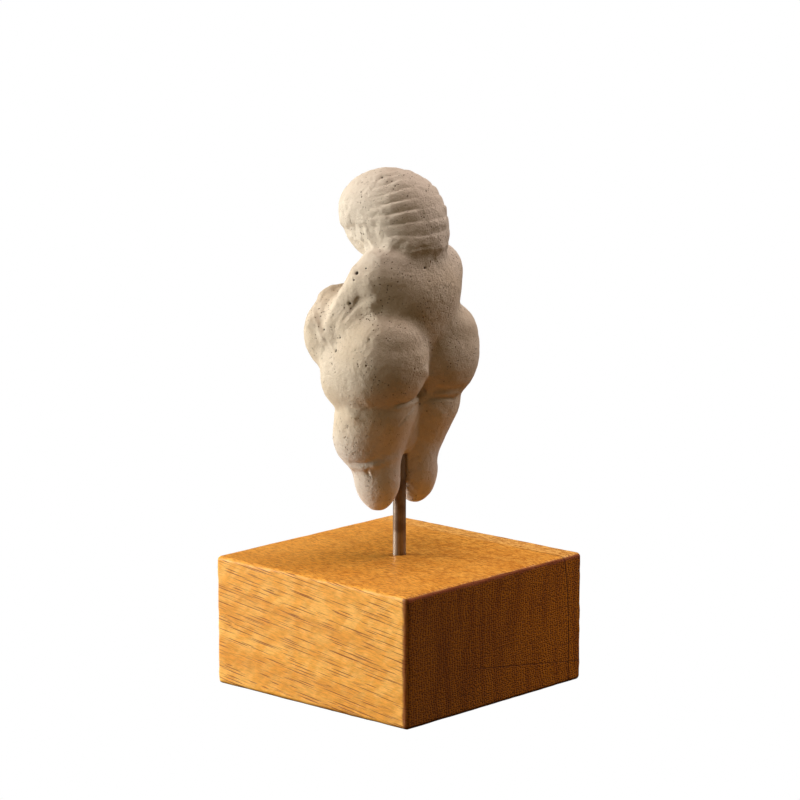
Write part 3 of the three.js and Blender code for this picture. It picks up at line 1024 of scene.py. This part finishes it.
    def corner_shade(self):
        """Painted shade: ragged, dark bands on the sides next to the near end, where they round into the
        shaded end.
        """
        by_end = self.remap(self.plus(self.y, self.raggedness), BLOCK_HALF[1] - 1.7, NEAR_END)
        off_top = self.times(by_end, self.minus(1, self.on_top))
        return self.times(off_top, self.minus(1, self.on_end))

    def lines(self):
        """A hairline crack up the end and a ray that shows as a line across it."""
        bend = self.times(self.math("POWER", self.times(self.level, 1 / BLOCK_HEIGHT), 4), CRACK_BEND)
        beside = self.minus(self.x, self.plus(CRACK_LOW, bend))
        crack = self.remap(self.math("ABSOLUTE", beside), 0.1, 0.35, 1, 0)
        crack = self.times(crack, self.remap(self.noise(self.place, size=4), 0.3, 0.5, 0.2, 1))
        over_ray = self.minus(self.level, self.plus(self.times(self.x, RAY_SLANT), RAY_HEIGHT))
        ray = self.remap(self.math("ABSOLUTE", over_ray), 0.05, 0.25, 1, 0)
        return self.most(crack, self.times(ray, self.remap(self.x, *RAY_END, 0.8, 0)))


def oak_material():
    oak = Oak()
    pores = oak.pores()
    ring, vessels, rays = oak.end_grain()
    lines = oak.lines()
    base = oak.stain(oak.long_grain(), pores, OAK_PORE, 0.95)
    base = oak.mix(oak.on_end, base, oak.end_tone(ring, vessels, rays))
    # Painted shade on the sides by the near end.
    base = oak.stain(base, oak.corner_shade(), CORNER_PAINTED_SHADE, 0.85)
    near_end = oak.remap(oak.y, 0, NEAR_END)
    base = oak.stain(base, oak.times(lines, near_end), CRACK_TONE, 0.8)
    # Painted shade: the block darkened along its foot, where it meets the floor.
    base = oak.tint(base, oak.remap(oak.level, 0.1, 1.5, 0.2, 1))

    dips = oak.most(oak.times(pores, 0.5), oak.times(vessels, oak.on_end))
    height = oak.minus(oak.times(oak.streaks, 0.35), oak.most(dips, lines))
    chips = oak.remap(oak.noise(oak.place, size=2.5, detail=3), 0.42, 0.56, 0, 0.45)
    dull = oak.most(oak.times(chips, oak.on_edge), oak.times(oak.on_end, 0.3))
    roughness = oak.plus(oak.remap(oak.streaks, 0.3, 0.8, 0.4, 0.52), dull)
    return oak.shade(base, roughness, height, OAK_RELIEF, OAK_GLOSS)


# Steel
STEEL_LIGHT = colour(150, 136, 122)
STEEL_DARK = colour(112, 92, 76)
STEEL_BROWN = colour(96, 80, 66)
DRAWN_STRETCH = (1, 1, 0.03)
STEEL_METALLIC = 0.75
STEEL_RELIEF = 0.01


def steel_material():
    recipe = Recipe("steel")
    drawn = recipe.noise(recipe.vector("MULTIPLY", recipe.place, DRAWN_STRETCH), size=0.35, detail=3)
    stain = recipe.noise(recipe.place, size=6, detail=3)
    base = recipe.mix(recipe.remap(stain, 0.35, 0.7), STEEL_LIGHT, STEEL_DARK)
    base = recipe.mix(recipe.remap(drawn, 0.4, 0.7, 0, 0.4), base, STEEL_BROWN)
    recipe.shader.inputs["Metallic"].default_value = STEEL_METALLIC
    return recipe.shade(base, recipe.remap(drawn, 0.3, 0.7, 0.36, 0.52), drawn, STEEL_RELIEF)


# Light, world and floor
LIGHT_DISTANCE = 1.2
LIGHT_AIM = Vector((0, 0, 0.09))
WORLD_TONE = (1, 0.73, 0.33, 1)
WORLD_STRENGTH = 0.13
FLOOR_HALF = 3000
FLOOR_TONE = (0.1, 0.06, 0.03, 1)
FLOOR_ROUGHNESS = 0.9
WHITE = (1, 1, 1, 1)


def light_way(turn, rise):
    """A direction from the object, turned from image left towards the camera, and raised."""
    turn, rise = math.radians(turn), math.radians(rise)
    level = -image_right * math.cos(turn) + level_way * math.sin(turn)
    return level * math.cos(rise) + Vector((0, 0, math.sin(rise)))


def add_light(name, turn, rise, size, watts, tone):
    data = bpy.data.lights.new(name, "AREA")
    data.shape = "DISK"
    data.size = size
    data.energy = watts
    data.color = tone
    lamp = add_object(name, data)
    way = light_way(turn, rise)
    lamp.location = LIGHT_AIM + way * LIGHT_DISTANCE
    lamp.rotation_euler = look_along(-way)


def white_to_camera(tree, output, lighting, white_kind):
    """Sends white to the camera and the given shader to everything else."""
    rays = tree.nodes.new("ShaderNodeLightPath")
    mix = tree.nodes.new("ShaderNodeMixShader")
    white = tree.nodes.new(white_kind)
    white.inputs["Color"].default_value = WHITE
    white.inputs["Strength"].default_value = 1
    tree.links.new(rays.outputs["Is Camera Ray"], mix.inputs["Fac"])
    tree.links.new(lighting.outputs[0], mix.inputs[1])
    tree.links.new(white.outputs[0], mix.inputs[2])
    tree.links.new(mix.outputs[0], output.inputs["Surface"])


def make_world():
    world = bpy.data.worlds.new("studio")
    world.use_nodes = True
    bpy.context.scene.world = world
    tree = world.node_tree
    dim = tree.nodes["Background"]
    dim.inputs["Color"].default_value = WORLD_TONE
    dim.inputs["Strength"].default_value = WORLD_STRENGTH
    white_to_camera(tree, tree.nodes["World Output"], dim, "ShaderNodeBackground")


def make_floor():
    corners = np.array([(-1, -1, 0), (1, -1, 0), (1, 1, 0), (-1, 1, 0)]) * FLOOR_HALF
    floor = new_object("floor", corners, [[0, 1, 2, 3]])
    material = bpy.data.materials.new("pale_floor")
    material.use_nodes = True
    tree = material.node_tree
    matt = tree.nodes["Principled BSDF"]
    matt.inputs["Base Color"].default_value = FLOOR_TONE
    matt.inputs["Roughness"].default_value = FLOOR_ROUGHNESS
    white_to_camera(tree, tree.nodes["Material Output"], matt, "ShaderNodeEmission")
    floor.data.materials.append(material)


def dress(piece, node, material):
    piece.data.materials.clear()
    piece.data.materials.append(material)
    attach(piece, BODY)
    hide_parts(node)


figure_piece, large_pits = make_figure()
dress(figure_piece, "figure", plaster_material(large_pits))
dress(make_block(), "block", oak_material())
dress(turned("steel_rod", rod_profile()), "rod", steel_material())

make_world()
make_floor()
add_light("key", turn=-12, rise=5, size=0.5, watts=22, tone=(1, 1, 0.98))
add_light("left", turn=12, rise=10, size=1.5, watts=4.5, tone=(1, 1, 0.9))
add_light("fill", turn=205, rise=35, size=0.8, watts=8.6, tone=(1, 0.9, 0.9))
add_light("top", turn=90, rise=85, size=0.7, watts=7.2, tone=(1, 0.85, 0.85))

bpy.context.scene.view_settings.view_transform = "Standard"
bpy.context.scene.view_settings.look = "None"
bpy.context.scene.view_settings.exposure = 0
bpy.context.scene.view_settings.gamma = 1

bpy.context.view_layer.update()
